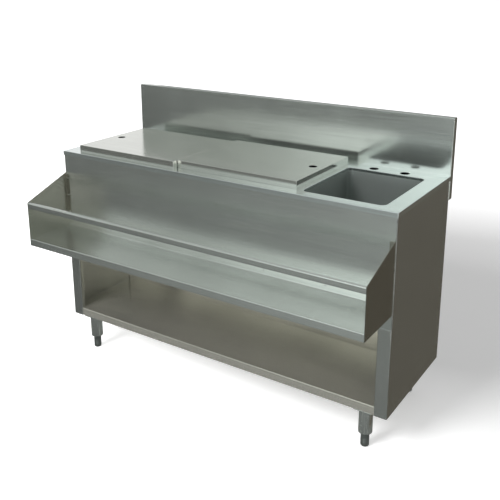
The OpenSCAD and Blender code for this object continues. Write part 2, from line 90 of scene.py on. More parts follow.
# Small helper for node trees: one call adds a node and sets its inputs
class Tree:
    def __init__(self, owner):
        owner.use_nodes = True
        self.tree = owner.node_tree
        self.tree.nodes.clear()

    def fill(self, node, values):
        for key, value in values.items():
            if hasattr(value, "is_linked"):
                self.tree.links.new(value, node.inputs[key])
            else:
                node.inputs[key].default_value = value

    def add(self, kind, values=None, **settings):
        n = self.tree.nodes.new(kind)
        for key, value in settings.items():
            setattr(n, key, value)
        self.fill(n, values or {})
        return n

    def math(self, operation, a, b=0.0):
        return self.add("ShaderNodeMath", {0: a, 1: b}, operation=operation).outputs[0]

    def mixColour(self, factor, a, b, blend="MIX"):
        n = self.tree.nodes.new("ShaderNodeMix")
        n.data_type = "RGBA"
        n.blend_type = blend
        self.fill(n, {0: factor, 6: a, 7: b})  # the colour sockets of this node
        return n.outputs[2]

    def ramp(self, value, stops):
        ends = zip(("From Min", "From Max", "To Min", "To Max"), stops)
        return self.add("ShaderNodeMapRange", dict(ends, Value=value)).outputs[0]


# Brushed sheet: grain drawn out along one axis, faint clouds, and a painted highlight that brightens
# the edges
steelBase = {
    "grainScale": (6, 900, 900),
    "longGrain": 0.12,         # scale of the long strokes against the fine ones
    "grainContrast": 0.06,
    "cloudScale": 5.0,
    "cloudContrast": 0.035,
    "noiseBand": (0.3, 0.7),
    "paintedEdgeHighlight": 0.08,
    "edgeBand": (0.52, 0.62),  # pointiness that counts as an edge
    "roughBand": (0.35, 0.65),
    "roughShares": (0.7, 0.3),  # grain and clouds in the roughness
    "bump": 0.06,
    "bumpHeight": 0.0002,
    "metallic": 0.96,
}


def brushedSteel(name, finish):
    f = {**steelBase, **finish}
    mat = bpy.data.materials.new(name)
    t = Tree(mat)
    place = t.add("ShaderNodeTexCoord").outputs["Object"]
    stretch = f["grainScale"]
    grainMap = t.add("ShaderNodeMapping", {"Vector": place, "Scale": stretch}).outputs[0]
    grain = t.add("ShaderNodeTexNoise", {"Vector": grainMap, "Scale": 1.0, "Detail": 3.0,
                                         "Roughness": 0.6})
    longScale = tuple(s * f["longGrain"] for s in stretch)
    longMap = t.add("ShaderNodeMapping", {"Vector": place, "Scale": longScale}).outputs[0]
    longGrain = t.add("ShaderNodeTexNoise", {"Vector": longMap, "Scale": 1.0, "Detail": 2.0})
    cloud = t.add("ShaderNodeTexNoise", {"Vector": place, "Scale": f["cloudScale"], "Detail": 4.0})

    def around(noise, spread):
        return t.ramp(noise.outputs[0], f["noiseBand"] + (1 - spread, 1 + spread))

    light = around(grain, f["grainContrast"])
    lightLong = around(longGrain, f["grainContrast"] / 2)
    lightCloud = around(cloud, f["cloudContrast"])
    tone = t.math("MULTIPLY", t.math("MULTIPLY", light, lightLong), lightCloud)
    # Painted highlight: edges picked out by pointiness are made brighter, as if they caught the light
    edgeMask = t.add("ShaderNodeNewGeometry").outputs["Pointiness"]
    toneHighlighted = t.math("ADD", tone, t.ramp(edgeMask, f["edgeBand"] + (0.0, f["paintedEdgeHighlight"])))
    grey = t.add("ShaderNodeCombineColor", {0: toneHighlighted, 1: toneHighlighted, 2: toneHighlighted}).outputs[0]
    colour = t.mixColour(1.0, srgb(*f["colour"]), grey, "MULTIPLY")
    grainShare, cloudShare = f["roughShares"]
    mixed = t.math("ADD", t.math("MULTIPLY", grain.outputs[0], grainShare),
                   t.math("MULTIPLY", cloud.outputs[0], cloudShare))
    rough = t.ramp(mixed, f["roughBand"] + f["roughness"])
    bump = t.add("ShaderNodeBump", {"Height": grain.outputs[0], "Strength": f["bump"],
                                    "Distance": f["bumpHeight"]}).outputs[0]
    shader = t.add("ShaderNodeBsdfPrincipled", {"Base Color": colour, "Metallic": f["metallic"],
                                                "Roughness": rough, "Normal": bump})
    t.add("ShaderNodeOutputMaterial", {"Surface": shader.outputs[0]})
    return mat


finishes = {
    "panelSteel": {"colour": (208, 212, 208), "roughness": (0.20, 0.26)},
    "sideSteel": {"colour": (200, 202, 198), "roughness": (0.25, 0.27),
                  "grainScale": (600, 600, 6), "grainContrast": 0.012, "bump": 0.003},
    # Painted shade: the rail ends take a darker copy of the rail steel
    "railEndShadedSteel": {"colour": (168, 167, 157), "roughness": (0.22, 0.25),
                     "grainScale": (600, 6, 600), "grainContrast": 0.012, "bump": 0.003},
    "splashSteel": {"colour": (204, 208, 204), "roughness": (0.16, 0.22)},
    "deckSteel": {"colour": (220, 227, 226), "roughness": (0.14, 0.19)},
    "lidSteel": {"colour": (208, 210, 204), "roughness": (0.13, 0.18)},
    "bowlSteel": {"colour": (186, 193, 190), "roughness": (0.28, 0.31), "metallic": 0.8,
                  "grainScale": (400, 400, 12), "grainContrast": 0.008, "bump": 0.003},
    "railSteel": {"colour": (220, 224, 220), "roughness": (0.20, 0.25)},
    # Painted light: shelf and inner steel are lighter and warmer than the panels, and less metallic, to
    # brighten the dim cabinet inside
    "shelfSteelLit": {"colour": (222, 220, 209), "roughness": (0.16, 0.22), "metallic": 0.82},
    "innerSteelLit": {"colour": (216, 213, 202), "roughness": (0.20, 0.26), "metallic": 0.74,
                   "grainContrast": 0.04, "bump": 0.03},
    "hiddenSteel": {"colour": (160, 163, 160), "roughness": (0.34, 0.46)},
    "legSteel": {"colour": (222, 225, 221), "roughness": (0.20, 0.28), "grainScale": (900, 900, 12)},
    "footSteel": {"colour": (150, 154, 152), "roughness": (0.28, 0.38), "grainScale": (500, 500, 500)},
    "screwSteel": {"colour": (176, 178, 175), "roughness": (0.22, 0.34), "grainScale": (600, 600, 600)},
    "drainPlate": {"colour": (196, 200, 200), "roughness": (0.08, 0.16), "grainScale": (300, 300, 300)},
}
slotFinish = {
    "panel_steel": "panelSteel", "deck_steel": "deckSteel", "lid_steel": "lidSteel",
    "bowl_steel": "bowlSteel", "rail_steel": "railSteel", "shelf_steel": "shelfSteelLit",
    "inner_steel": "innerSteelLit", "hidden_steel": "hiddenSteel", "leg_steel": "legSteel",
    "foot_steel": "footSteel", "screw_steel": "screwSteel", "drain_plate": "drainPlate",
}
# Nodes whose finish is not the one of their slot
nodeFinish = {
    "rail_left_end": "railEndShadedSteel", "rail_right_end": "railEndShadedSteel",
    "backsplash_shell": "splashSteel", "backsplash_brace": "splashSteel",
    "backsplash_left_cap": "splashSteel", "backsplash_right_cap": "splashSteel",
}
steels = {name: brushedSteel(name, finish) for name, finish in finishes.items()}

foam = {"light": (226, 208, 160), "dark": (200, 178, 128), "cells": 420.0, "mottle": 9.0,
        "roughness": 0.85, "bump": 0.5, "bumpHeight": 0.0006}
rubber = {"dark": (24, 24, 24), "light": (46, 45, 43), "dust": 160.0,
          "roughness": (0.55, 0.75), "noiseBand": (0.3, 0.7), "bump": 0.2, "bumpHeight": 0.0003}


def finishWith(t, colour, rough, height, f):
    bump = t.add("ShaderNodeBump", {"Height": height, "Strength": f["bump"],
                                    "Distance": f["bumpHeight"]})
    shader = t.add("ShaderNodeBsdfPrincipled", {"Base Color": colour, "Roughness": rough,
                                                "Normal": bump.outputs[0]})
    t.add("ShaderNodeOutputMaterial", {"Surface": shader.outputs[0]})


def foamMaterial(f):
    mat = bpy.data.materials.new("binFoam")
    t = Tree(mat)
    place = t.add("ShaderNodeTexCoord").outputs["Object"]
    cells = t.add("ShaderNodeTexVoronoi", {"Vector": place, "Scale": f["cells"]})
    mottle = t.add("ShaderNodeTexNoise", {"Vector": place, "Scale": f["mottle"], "Detail": 5.0})
    colour = t.mixColour(mottle.outputs[0], srgb(*f["light"]), srgb(*f["dark"]))
    finishWith(t, colour, f["roughness"], cells.outputs["Distance"], f)
    return mat


def rubberMaterial(f):
    mat = bpy.data.materials.new("gasketRubber")
    t = Tree(mat)
    place = t.add("ShaderNodeTexCoord").outputs["Object"]
    dust = t.add("ShaderNodeTexNoise", {"Vector": place, "Scale": f["dust"], "Detail": 5.0})
    colour = t.mixColour(dust.outputs[0], srgb(*f["dark"]), srgb(*f["light"]))
    rough = t.ramp(dust.outputs[0], f["noiseBand"] + f["roughness"])
    finishWith(t, colour, rough, dust.outputs[0], f)
    return mat


plainFinish = {"foam": foamMaterial(foam), "rubber": rubberMaterial(rubber)}
print("bar station: finishes made")

# Every CAD node takes its finish; welded vertices and fine rounded edges catch the light
edgeRound = {"width": 0.0006, "segments": 2, "angle": 35.0, "weld": 0.00001}
for part in frame["record"]["subparts"]:
    node = nodes[part["node"]]
    slotName = part["material_slot"]
    steel = nodeFinish.get(part["node"], slotFinish.get(slotName))
    node.data.materials.clear()
    node.data.materials.append(steels[steel] if steel else plainFinish[slotName])
    weld = node.modifiers.new("weldSeams", "WELD")
    weld.merge_threshold = edgeRound["weld"]
    bevel = node.modifiers.new("roundEdges", "BEVEL")
    bevel.width = edgeRound["width"]
    bevel.segments = edgeRound["segments"]
    bevel.limit_method = "ANGLE"
    bevel.angle_limit = math.radians(edgeRound["angle"])
    bevel.harden_normals = False
print("bar station: CAD nodes dressed")


# Sheet work. A Skin gathers the outer faces of one folded sheet; the bends are
# rounded and the thickness is added behind them
class Skin:
    def __init__(self):
        self.bm = bmesh.new()

    def face(self, *corners):
        return self.bm.faces.new([self.bm.verts.new(c) for c in corners])

    # A profile drawn along from one end to the other; the outside is on its left
    def run(self, profile, place, low, high):
        for a, b in zip(profile, profile[1:]):
            self.face(place(a, low), place(b, low), place(b, high), place(a, high))

    def plate(self, outline, holes, height):
        edges = []
        for loop in [outline] + holes:
            ring = [self.bm.verts.new((x, y, height)) for x, y in loop]
            edges += [self.bm.edges.new((a, b)) for a, b in zip(ring, ring[1:] + ring[:1])]
        made = bmesh.ops.triangle_fill(self.bm, edges=edges, use_beauty=True)
        for face in [g for g in made["geom"] if isinstance(g, bmesh.types.BMFace)]:
            if face.normal.z < 0:
                face.normal_flip()

    # Closed rows of points of equal count, joined row to row
    def rows(self, loops):
        rings = [[self.bm.verts.new(p) for p in loop] for loop in loops]
        for lower, upper in zip(rings, rings[1:]):
            count = len(lower)
            for i in range(count):
                j = (i + 1) % count
                self.bm.faces.new((lower[i], lower[j], upper[j], upper[i]))

    def cap(self, loop, towards):
        face = self.face(*loop)
        face.normal_update()
        if face.normal.dot(Vector(towards)) < 0:
            face.normal_flip()


weldGap = 0.000002
bendTurns = 4
shadeWeight = 80
leastRadius = 0.0005


def asPiece(name, skin, steel, body, replaced, gauge=0.0, bend=0.0, bendAngle=30.0):
    bmesh.ops.remove_doubles(skin.bm, verts=skin.bm.verts, dist=weldGap)
    mesh = bpy.data.meshes.new(name)
    skin.bm.to_mesh(mesh)
    skin.bm.free()
    mesh.materials.append(steels[steel])
    mesh.polygons.foreach_set("use_smooth", [True] * len(mesh.polygons))
    piece = bpy.data.objects.new(name, mesh)
    bpy.context.scene.collection.objects.link(piece)
    if bend:
        folds = piece.modifiers.new("foldRadius", "BEVEL")
        folds.width = bend
        folds.segments = bendTurns
        folds.limit_method = "ANGLE"
        folds.angle_limit = math.radians(bendAngle)
        folds.loop_slide = False
    if gauge:
        sheet = piece.modifiers.new("sheetGauge", "SOLIDIFY")
        sheet.thickness = gauge
        sheet.offset = -1.0
        sheet.use_even_offset = True
    shade = piece.modifiers.new("flatShade", "WEIGHTED_NORMAL")
    shade.weight = shadeWeight
    shade.keep_sharp = True
    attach(piece, body)
    if replaced:
        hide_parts(*replaced)
    return piece


def boxOf(*names):
    boxes = [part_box(n) for n in names]
    low = Vector([min(b[0][i] for b in boxes) for i in range(3)])
    high = Vector([max(b[1][i] for b in boxes) for i in range(3)])
    return low, high


# Rounded rectangle with evenly shared points, so that rings of any size match
def roundedRing(low, high, radius, grow=0.0, perCorner=8, perSide=6):
    x0, y0, x1, y1 = low[0] - grow, low[1] - grow, high[0] + grow, high[1] + grow
    r = max(radius + grow, leastRadius)
    corners = ((x1 - r, y1 - r, 0), (x0 + r, y1 - r, 90),
               (x0 + r, y0 + r, 180), (x1 - r, y0 + r, 270))
    ring = []
    for cx, cy, start in corners:
        for i in range(perCorner + 1):
            turn = math.radians(start + 90 * i / perCorner)
            ring.append((cx + r * math.cos(turn), cy + r * math.sin(turn)))
    full = []
    for i, p in enumerate(ring):
        q = ring[(i + 1) % len(ring)]
        full.append(p)
        if i % (perCorner + 1) == perCorner:
            full += [(p[0] + (q[0] - p[0]) * k / perSide, p[1] + (q[1] - p[1]) * k / perSide)
                     for k in range(1, perSide)]
    return full


def circleRing(place, radius, count):
    turns = [2 * math.pi * i / count for i in range(count)]
    return [(place[0] + radius * math.cos(a), place[1] + radius * math.sin(a)) for a in turns]


def atHeight(ring, z):
    return [(x, y, z) for x, y in ring]


def quarterSteps(count):
    return [math.pi / 2 * i / count for i in range(count + 1)]


def middleOf(low, high):
    return ((low.x + high.x) / 2, (low.y + high.y) / 2)


# An edge rolled down round a hole: rings that close in as they go down
def rolledEdge(ringAt, top, roll, steps):
    return [atHeight(ringAt(roll * (1 - math.sin(turn))), top - roll * (1 - math.cos(turn)))
            for turn in quarterSteps(steps)]


# Deck: one sheet with folded lips, a rim turned up round the bin and an edge
# turned down into the sink
deckNodes = ["deck_front_strip", "deck_back_strip", "deck_left_end", "deck_right_end",
             "deck_bridge", "deck_faucet_ledge", "bin_rim"]
deck = {
    "gauge": 0.0015,
    "lipBend": 0.0011,
    "lipAngle": 60,
    "rimBend": 0.0025,
    "rimSteps": 5,
    "sinkBend": 0.0016,
    "sinkSteps": 6,
    "sinkLip": 0.009,
    "holeEdge": 0.0007,
    "holeSteps": 3,
    "holePoints": 40,
    "binRadius": 0.020,
    "sinkRadius": 0.019,
    "sinkFlange": 0.0092,
}
deckLow, deckHigh = boxOf(*deckNodes[:6])
rimLow, rimHigh = boxOf("bin_rim")
bowlLow, bowlHigh = boxOf("sink_bowl")
deckTop = deckHigh.z
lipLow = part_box("deck_left_end")[0].z
binLow = (rimLow.x + deck["gauge"], rimLow.y + deck["gauge"])
binHigh = (rimHigh.x - deck["gauge"], rimHigh.y - deck["gauge"])
sinkLow = (bowlLow.x + deck["sinkFlange"], bowlLow.y + deck["sinkFlange"])
sinkHigh = (bowlHigh.x - deck["sinkFlange"], bowlHigh.y - deck["sinkFlange"])
faucetMount = next(m for m in frame["record"]["mounts"] if m["name"] == "faucet_holes")
faucetRadius = faucetMount["dims"]["hole_r_mm"] / 1000
faucetPlaces = [(faucetMount["pos_m"][0] + side * faucetMount["dims"]["spacing_x_mm"] / 2000,
                 faucetMount["pos_m"][1]) for side in (-1, 1)]


def makeDeck(d):
    skin = Skin()
    g, top = d["gauge"], deckTop

    def binRing(grow):
        return roundedRing(binLow, binHigh, d["binRadius"], grow)

    def sinkRing(grow):
        return roundedRing(sinkLow, sinkHigh, d["sinkRadius"], grow)

    outline = [(deckLow.x, deckLow.y), (deckHigh.x, deckLow.y),
               (deckHigh.x, deckHigh.y), (deckLow.x, deckHigh.y)]
    holes = [binRing(g + d["rimBend"]), sinkRing(d["sinkBend"])]
    holes += [circleRing(p, faucetRadius + d["holeEdge"], d["holePoints"]) for p in faucetPlaces]
    skin.plate(outline, holes, top)
    # Lips fold down at the front and both ends
    (x0, y0), (x1, _), (_, y1), _ = outline
    skin.face((x0, y0, top), (x0, y0, lipLow), (x1, y0, lipLow), (x1, y0, top))
    skin.face((x1, y0, top), (x1, y0, lipLow), (x1, y1, lipLow), (x1, y1, top))
    skin.face((x0, y1, top), (x0, y1, lipLow), (x0, y0, lipLow), (x0, y0, top))
    rim = [atHeight(binRing(g + d["rimBend"] * (1 - math.sin(turn))),
                    top + d["rimBend"] * (1 - math.cos(turn))) for turn in quarterSteps(d["rimSteps"])]
    rim.append(atHeight(binRing(g), rimHigh.z))
    skin.rows(rim)
    edge = rolledEdge(sinkRing, top, d["sinkBend"], d["sinkSteps"])
    edge.append(atHeight(sinkRing(0.0), top - d["sinkLip"]))
    skin.rows(edge)
    for p in faucetPlaces:
        skin.rows(rolledEdge(lambda grow: circleRing(p, faucetRadius + grow, d["holePoints"]),
                             top, d["holeEdge"], d["holeSteps"]))
    return asPiece("deckSheet", skin, "deckSteel", "station", deckNodes,
                   gauge=g, bend=d["lipBend"], bendAngle=d["lipAngle"])


makeDeck(deck)


# Bowls: straight walls, coved floor edge, floor dished towards the drain
bowls = {
    "sinkBowlSheet": {
        "node": "sink_bowl", "low": sinkLow, "high": sinkHigh, "radius": deck["sinkRadius"],
        "top": deckTop - deck["sinkLip"], "drain": "sink_drain_body", "cove": 0.015,
        "dish": 0.005, "wallRows": 8,
    },
    "iceBinSheet": {
        "node": "ice_bin_liner", "low": binLow, "high": binHigh, "radius": deck["binRadius"],
        "top": deckTop + deck["rimBend"], "drain": "ice_bin_drain_body", "cove": 0.016,
        "dish": 0.006, "wallRows": 6,
    },
}
bowlShape = {"gauge": 0.0012, "coveSteps": 6, "floorRows": 6, "dishCurve": 1.3}
drainHoleClear = 0.0001
drainFlange = 0.008


def makeBowl(name, b, shape):
    skin = Skin()
    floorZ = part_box(b["node"])[0].z + shape["gauge"]
    drainLow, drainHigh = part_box(b["drain"])
    cx, cy = middleOf(drainLow, drainHigh)
    seat = (drainHigh.x - drainLow.x) / 2
    holeRadius = seat - drainFlange + drainHoleClear
    coveZ = floorZ + b["dish"] + b["cove"]

    def wallRing(grow=0.0):
        return roundedRing(b["low"], b["high"], b["radius"], grow)

    loops = [atHeight(wallRing(), b["top"] + (coveZ - b["top"]) * i / b["wallRows"])
             for i in range(b["wallRows"] + 1)]
    for turn in quarterSteps(shape["coveSteps"])[1:]:
        loops.append(atHeight(wallRing(-b["cove"] * (1 - math.cos(turn))),
                              coveZ - b["cove"] * math.sin(turn)))
    inner = loops[-1]
    spanX, spanY = b["high"][0] - b["low"][0], b["high"][1] - b["low"][1]
    for i in range(1, shape["floorRows"] + 1):
        share = i / shape["floorRows"]
        z = floorZ + b["dish"] * (1 - share) ** shape["dishCurve"]
        ring = []
        for x, y, _ in inner:
            turn = math.atan2((y - cy) * spanX, (x - cx) * spanY)
            ring.append((x + (cx + seat * math.cos(turn) - x) * share,
                         y + (cy + seat * math.sin(turn) - y) * share, z))
        loops.append(ring)
    inward = holeRadius / seat
    loops.append([(cx + (x - cx) * inward, cy + (y - cy) * inward, floorZ) for x, y, _ in loops[-1]])
    skin.rows(loops)
    return asPiece(name, skin, "bowlSteel", "station", [b["node"]], gauge=shape["gauge"])


for name, b in bowls.items():
    makeBowl(name, b, bowlShape)
print("bar station: deck, sink bowl and ice bin folded")


# Lids: folded pans, short at the inner end where they pass over the rim
lids = {
    "gauge": 0.0012,
    "bend": 0.0010,
    "bendAngle": 60,
    "hem": 0.012,
    "clear": 0.0003,
    "fingerRadius": 0.0127,
    "fingerInset": 0.0375,
    "fingerEdge": 0.0007,
    "fingerSteps": 4,
    "fingerPoints": 36,
}


def makeLid(name, node, body, side, p):
    low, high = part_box(node)
    skin = Skin()
    outer, inner = (low.x, high.x) if side > 0 else (high.x, low.x)
    earFront, earBack = rimLow.y - p["clear"], rimHigh.y + p["clear"]
    top, hemZ = high.z, high.z - p["hem"]
    outline = [(outer, low.y), (inner, low.y), (inner, earFront),
               (inner, earBack), (inner, high.y), (outer, high.y)]
    place = (outer + side * p["fingerInset"], (low.y + high.y) / 2)

    def fingerRing(grow):
        return circleRing(place, p["fingerRadius"] + grow, p["fingerPoints"])

    skin.plate(outline, [fingerRing(p["fingerEdge"])], top)
    # Flange heights along the outline: the inner end is short between its two ears
    feet = [low.z, low.z, hemZ, low.z, low.z, low.z]
    for i, foot in enumerate(feet):
        a, b = outline[i], outline[(i + 1) % len(outline)]
        if side < 0:
            a, b = b, a
        skin.face((*a, top), (*a, foot), (*b, foot), (*b, top))
    skin.rows(rolledEdge(fingerRing, top, p["fingerEdge"], p["fingerSteps"]))
    return asPiece(name, skin, "lidSteel", body, [node],
                   gauge=p["gauge"], bend=p["bend"], bendAngle=p["bendAngle"])


makeLid("leftLidPan", "left_lid", "left_cover", 1, lids)
makeLid("rightLidPan", "right_lid", "right_cover", -1, lids)
print("bar station: lids folded")


# Backsplash: boxed sheet with rounded folds and end caps welded on
splash = {
    "fold": 0.0014,
    "foldPoints": 5,
    "sidePoints": 4,
    "endRound": 0.0008,
    "endCurve": 0.35,
    "cap": 0.0015,
    "seam": 0.00035,
    "seamWidth": 0.0006,
}


def makeSplash(s):
    low, high = boxOf("backsplash_shell", "backsplash_left_cap", "backsplash_right_cap")
    skin = Skin()
    mid = s["endRound"] * s["endCurve"]
    # Distance from the end and growth of the ring: rounded end, then the seam of the cap
    steps = [(0.0, -s["endRound"]), (mid, -mid), (s["endRound"], 0.0), (s["cap"], 0.0),
             (s["cap"] + s["seamWidth"] / 2, -s["seam"]), (s["cap"] + s["seamWidth"], 0.0)]
    stations = [(low.x + d, grow) for d, grow in steps]
    stations += [(high.x - d, grow) for d, grow in reversed(steps)]
    loops = []
    for x, grow in stations:
        ring = roundedRing((low.y, low.z), (high.y, high.z), s["fold"], grow,
                           perCorner=s["foldPoints"], perSide=s["sidePoints"])
        loops.append([(x, y, z) for y, z in ring])
    skin.rows(loops)
    skin.cap(loops[0], (-1, 0, 0))
    skin.cap(loops[-1], (1, 0, 0))
    bmesh.ops.remove_doubles(skin.bm, verts=skin.bm.verts, dist=weldGap)
    bmesh.ops.recalc_face_normals(skin.bm, faces=skin.bm.faces)
    return asPiece("backsplashBox", skin, "splashSteel", "station",
                   ["backsplash_shell", "backsplash_left_cap", "backsplash_right_cap"])


makeSplash(splash)


# Folded runs along the width: bottle rail, guard, shelf and front panel
runs = {
    "gauge": 0.0015,
    "bend": 0.0020,
    "guardBend": 0.0050,
    "railHem": 0.011,
    "railStand": 0.030,
    "flush": 0.0001,
    "guardHem": 0.008,
    "guardFlat": 0.0135,
    "shelfHem": 0.006,
    "shelfRear": 0.0155,
}


def acrossWidth(p, x):
    return (x, p[0], p[1])


def makeRuns(r):
    g = r["gauge"]
    low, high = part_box("rail_trough")
    floorZ = high.z - r["railStand"]
    skin = Skin()
    # The upstand leans back until its edge is flush with the front panel
    skin.run([(low.y + r["railHem"], low.z), (low.y, low.z), (low.y, floorZ), (high.y - g, floorZ),
              (high.y - r["flush"], high.z)], acrossWidth, high.x, low.x)
    asPiece("railTray", skin, "railSteel", "station", ["rail_trough"],
            gauge=g, bend=r["bend"])

    low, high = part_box("rail_guard")
    skin = Skin()
    skin.run([(low.y + r["guardHem"], low.z), (low.y, low.z), (low.y, high.z),
              (low.y + r["guardFlat"], high.z)], acrossWidth, high.x, low.x)
    asPiece("railGuardBar", skin, "panelSteel", "station", ["rail_guard"],
            gauge=g, bend=r["guardBend"])

    low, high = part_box("bottom_shelf")
    lipHalf = -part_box("left_side_panel")[1].x
    skin = Skin()
    skin.run([(low.y + g + r["shelfHem"], low.z), (low.y, low.z), (low.y, high.z), (high.y, high.z),
              (high.y, high.z - r["shelfRear"])], acrossWidth, lipHalf, -lipHalf)
    for side in (-1, 1):
        plan = ((lipHalf, low.y + g), (high.x, low.y + g), (high.x, high.y), (lipHalf, high.y))
        skin.face(*[(side * x, y, high.z) for x, y in plan][::side])
    asPiece("shelfPan", skin, "shelfSteelLit", "station", ["bottom_shelf"],
            gauge=g, bend=r["bend"])

    low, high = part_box("front_panel")
    skin = Skin()
    skin.run([(high.y, low.z), (low.y, low.z), (low.y, high.z)], acrossWidth, lipHalf, -lipHalf)
    # Beside the opening the sheet is flush with the stiles below it
    for side in (-1, 1):
        front = ((lipHalf, low.z), (high.x, low.z), (high.x, high.z), (lipHalf, high.z))
        skin.face(*[(side * x, low.y, z) for x, z in front][::side])
    asPiece("frontSheet", skin, "panelSteel", "station", ["front_panel"],
            gauge=g, bend=r["bend"])


makeRuns(runs)


# Side panels with the folded stile beside the opening
sides = {"gauge": 0.0015, "bend": 0.0018, "fold": 0.011}


def makeSide(name, node, side, s):
    low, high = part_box(node)
    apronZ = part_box("front_panel")[0].z
    outerX = max(abs(low.x), abs(high.x)) * side
    innerX = min(abs(low.x), abs(high.x)) * side
    skin = Skin()

    def upright(p, z):
        return (p[0], p[1], z)

    plan = [(outerX, high.y), (outerX, low.y), (innerX, low.y),
            (innerX, low.y + s["gauge"] + s["fold"])]
    skin.run(plan, upright, *(low.z, apronZ)[::side])
    above = [(outerX, high.y), (outerX, low.y + s["gauge"])]
    skin.run(above, upright, *(apronZ, high.z)[::side])
    return asPiece(name, skin, "sideSteel", "station", [node],
                   gauge=s["gauge"], bend=s["bend"])


makeSide("leftSideSheet", "left_side_panel", -1, sides)
makeSide("rightSideSheet", "right_side_panel", 1, sides)
print("bar station: backsplash, rail, shelf and cabinet folded")


# Turned pieces: legs' collars, feet and drain flanges
turnedPoints = 48
axisRadius = 0.00001


def turned(name, profile, place, steel, body, replaced):
    skin = Skin()
    skin.rows([atHeight(circleRing(place, max(r, axisRadius), turnedPoints), z) for r, z in profile])
    return asPiece(name, skin, steel, body, replaced)


collar = {
    "lip": 0.0006,
    "ring": 0.0012,
    "inside": 0.004,            # how far it reaches up into the leg
    "neck": 0.68,               # share of the radius
    "bore": 0.92,               # share of the neck
    "sleeve": 0.9,              # share of the radius
    "slope": 1.6,
    "rounding": (0.3, 0.4, 0.6),  # shares of the lip
}
footShape = {
    "base": 0.0008,
    "pad": 0.56,                # shares of the radius
    "sole": 0.62,
    "swell": 0.0055,
    "swellSteps": 4,
    "grooves": (0.016, 0.021, 0.026),
    "groove": 0.0006,
    "grooveWidth": 0.0016,
    "grooveFlank": 0.3,         # share of the width
    "chamfer": 0.001,
}
drainShape = {
    "plate": 0.002,
    "wall": 0.0035,
    "mouth": 0.001,
    "dish": 0.0011,
    "step": 0.0006,
    "rise": 0.00033,
    "slope": 0.0015,
    "rimRound": 0.0007,
    "rimSteps": 4,
    "threadPitch": 0.0014,
    "threadDepth": 0.0006,
    "threadPoints": (0.0002, 0.0007, 0.0012),
    "threadEnd": 0.002,
    "chamfer": 0.0008,
}


def makeCollar(name, node, c):
    low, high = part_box(node)
    radius = (high.x - low.x) / 2
    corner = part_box(node.replace("leg_collar", "leg_tube"))[0].z
    neck, sleeve = radius * c["neck"], radius * c["sleeve"]
    bore, inside = neck * c["bore"], corner + c["inside"]
    lip, ring = c["lip"], c["ring"]
    first, second, third = c["rounding"]
    profile = [(bore, low.z), (neck - lip, low.z), (neck, low.z + lip),
               (radius - ring, corner - ring * c["slope"]), (radius - lip * first, corner - ring),
               (radius, corner - lip), (radius, corner - lip * second),
               (radius - lip * third, corner), (sleeve, corner), (sleeve, inside),
               (bore, inside), (bore, low.z)]
    return turned(name, profile, middleOf(low, high), "footSteel", "station", [node])


def makeFoot(name, node, body, f):
    low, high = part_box(node)
    radius = (high.x - low.x) / 2
    sole = f["sole"]
    profile = [(0, low.z), (radius * f["pad"], low.z), (radius * sole, low.z + f["base"])]
    for turn in quarterSteps(f["swellSteps"]):
        profile.append((radius * (sole + (1 - sole) * math.sin(turn)),
                        low.z + f["base"] + f["swell"] * (1 - math.cos(turn))))
    wide, flank = f["grooveWidth"], f["grooveFlank"]
    deep = radius - f["groove"]
    for rise in f["grooves"]:
        z = low.z + rise
        profile += [(radius, z), (deep, z + wide * flank),
                    (deep, z + wide * (1 - flank)), (radius, z + wide)]
    profile += [(radius, high.z - f["chamfer"]), (radius - f["chamfer"], high.z), (0, high.z)]
    return turned(name, profile, middleOf(low, high), "footSteel", body, [node])


for corner in ("front_left", "front_right", "back_left", "back_right"):
    words = corner.split("_")
    label = words[0] + words[1].capitalize()
    makeCollar(label + "Collar", "leg_collar_" + corner, collar)
    makeFoot(label + "FootTurned", "foot_" + corner, corner + "_foot", footShape)


def makeDrainFlange(name, node, d):
    low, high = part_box(node)
    seat = (high.x - low.x) / 2
    thread = seat - drainFlange
    top, under = high.z, high.z - d["plate"]
    bore = thread - d["wall"]
    profile = [(bore, under - d["mouth"]), (thread - d["step"], top - d["dish"]),
               (thread, top - d["rise"]), (thread + d["slope"], top)]
    for turn in quarterSteps(d["rimSteps"]):
        profile.append((seat - d["rimRound"] * (1 - math.sin(turn)),
                        top - d["rimRound"] * (1 - math.cos(turn))))
    profile += [(seat, under), (thread, under)]
    # Thread below the seat, cut as even rings
    crest, root, nextCrest = d["threadPoints"]
    z = under
    while z > low.z + d["threadEnd"]:
        profile += [(thread, z - crest), (thread - d["threadDepth"], z - root),
                    (thread, z - nextCrest)]
        z -= d["threadPitch"]
    profile += [(thread - d["chamfer"], low.z), (bore, low.z), (bore, under - d["mouth"])]
    return turned(name, profile, middleOf(low, high), "drainPlate", "station", [node])


makeDrainFlange("sinkDrainSeat", "sink_drain_body", drainShape)
makeDrainFlange("iceBinDrainSeat", "ice_bin_drain_body", drainShape)
print("bar station: feet, collars and drains turned")
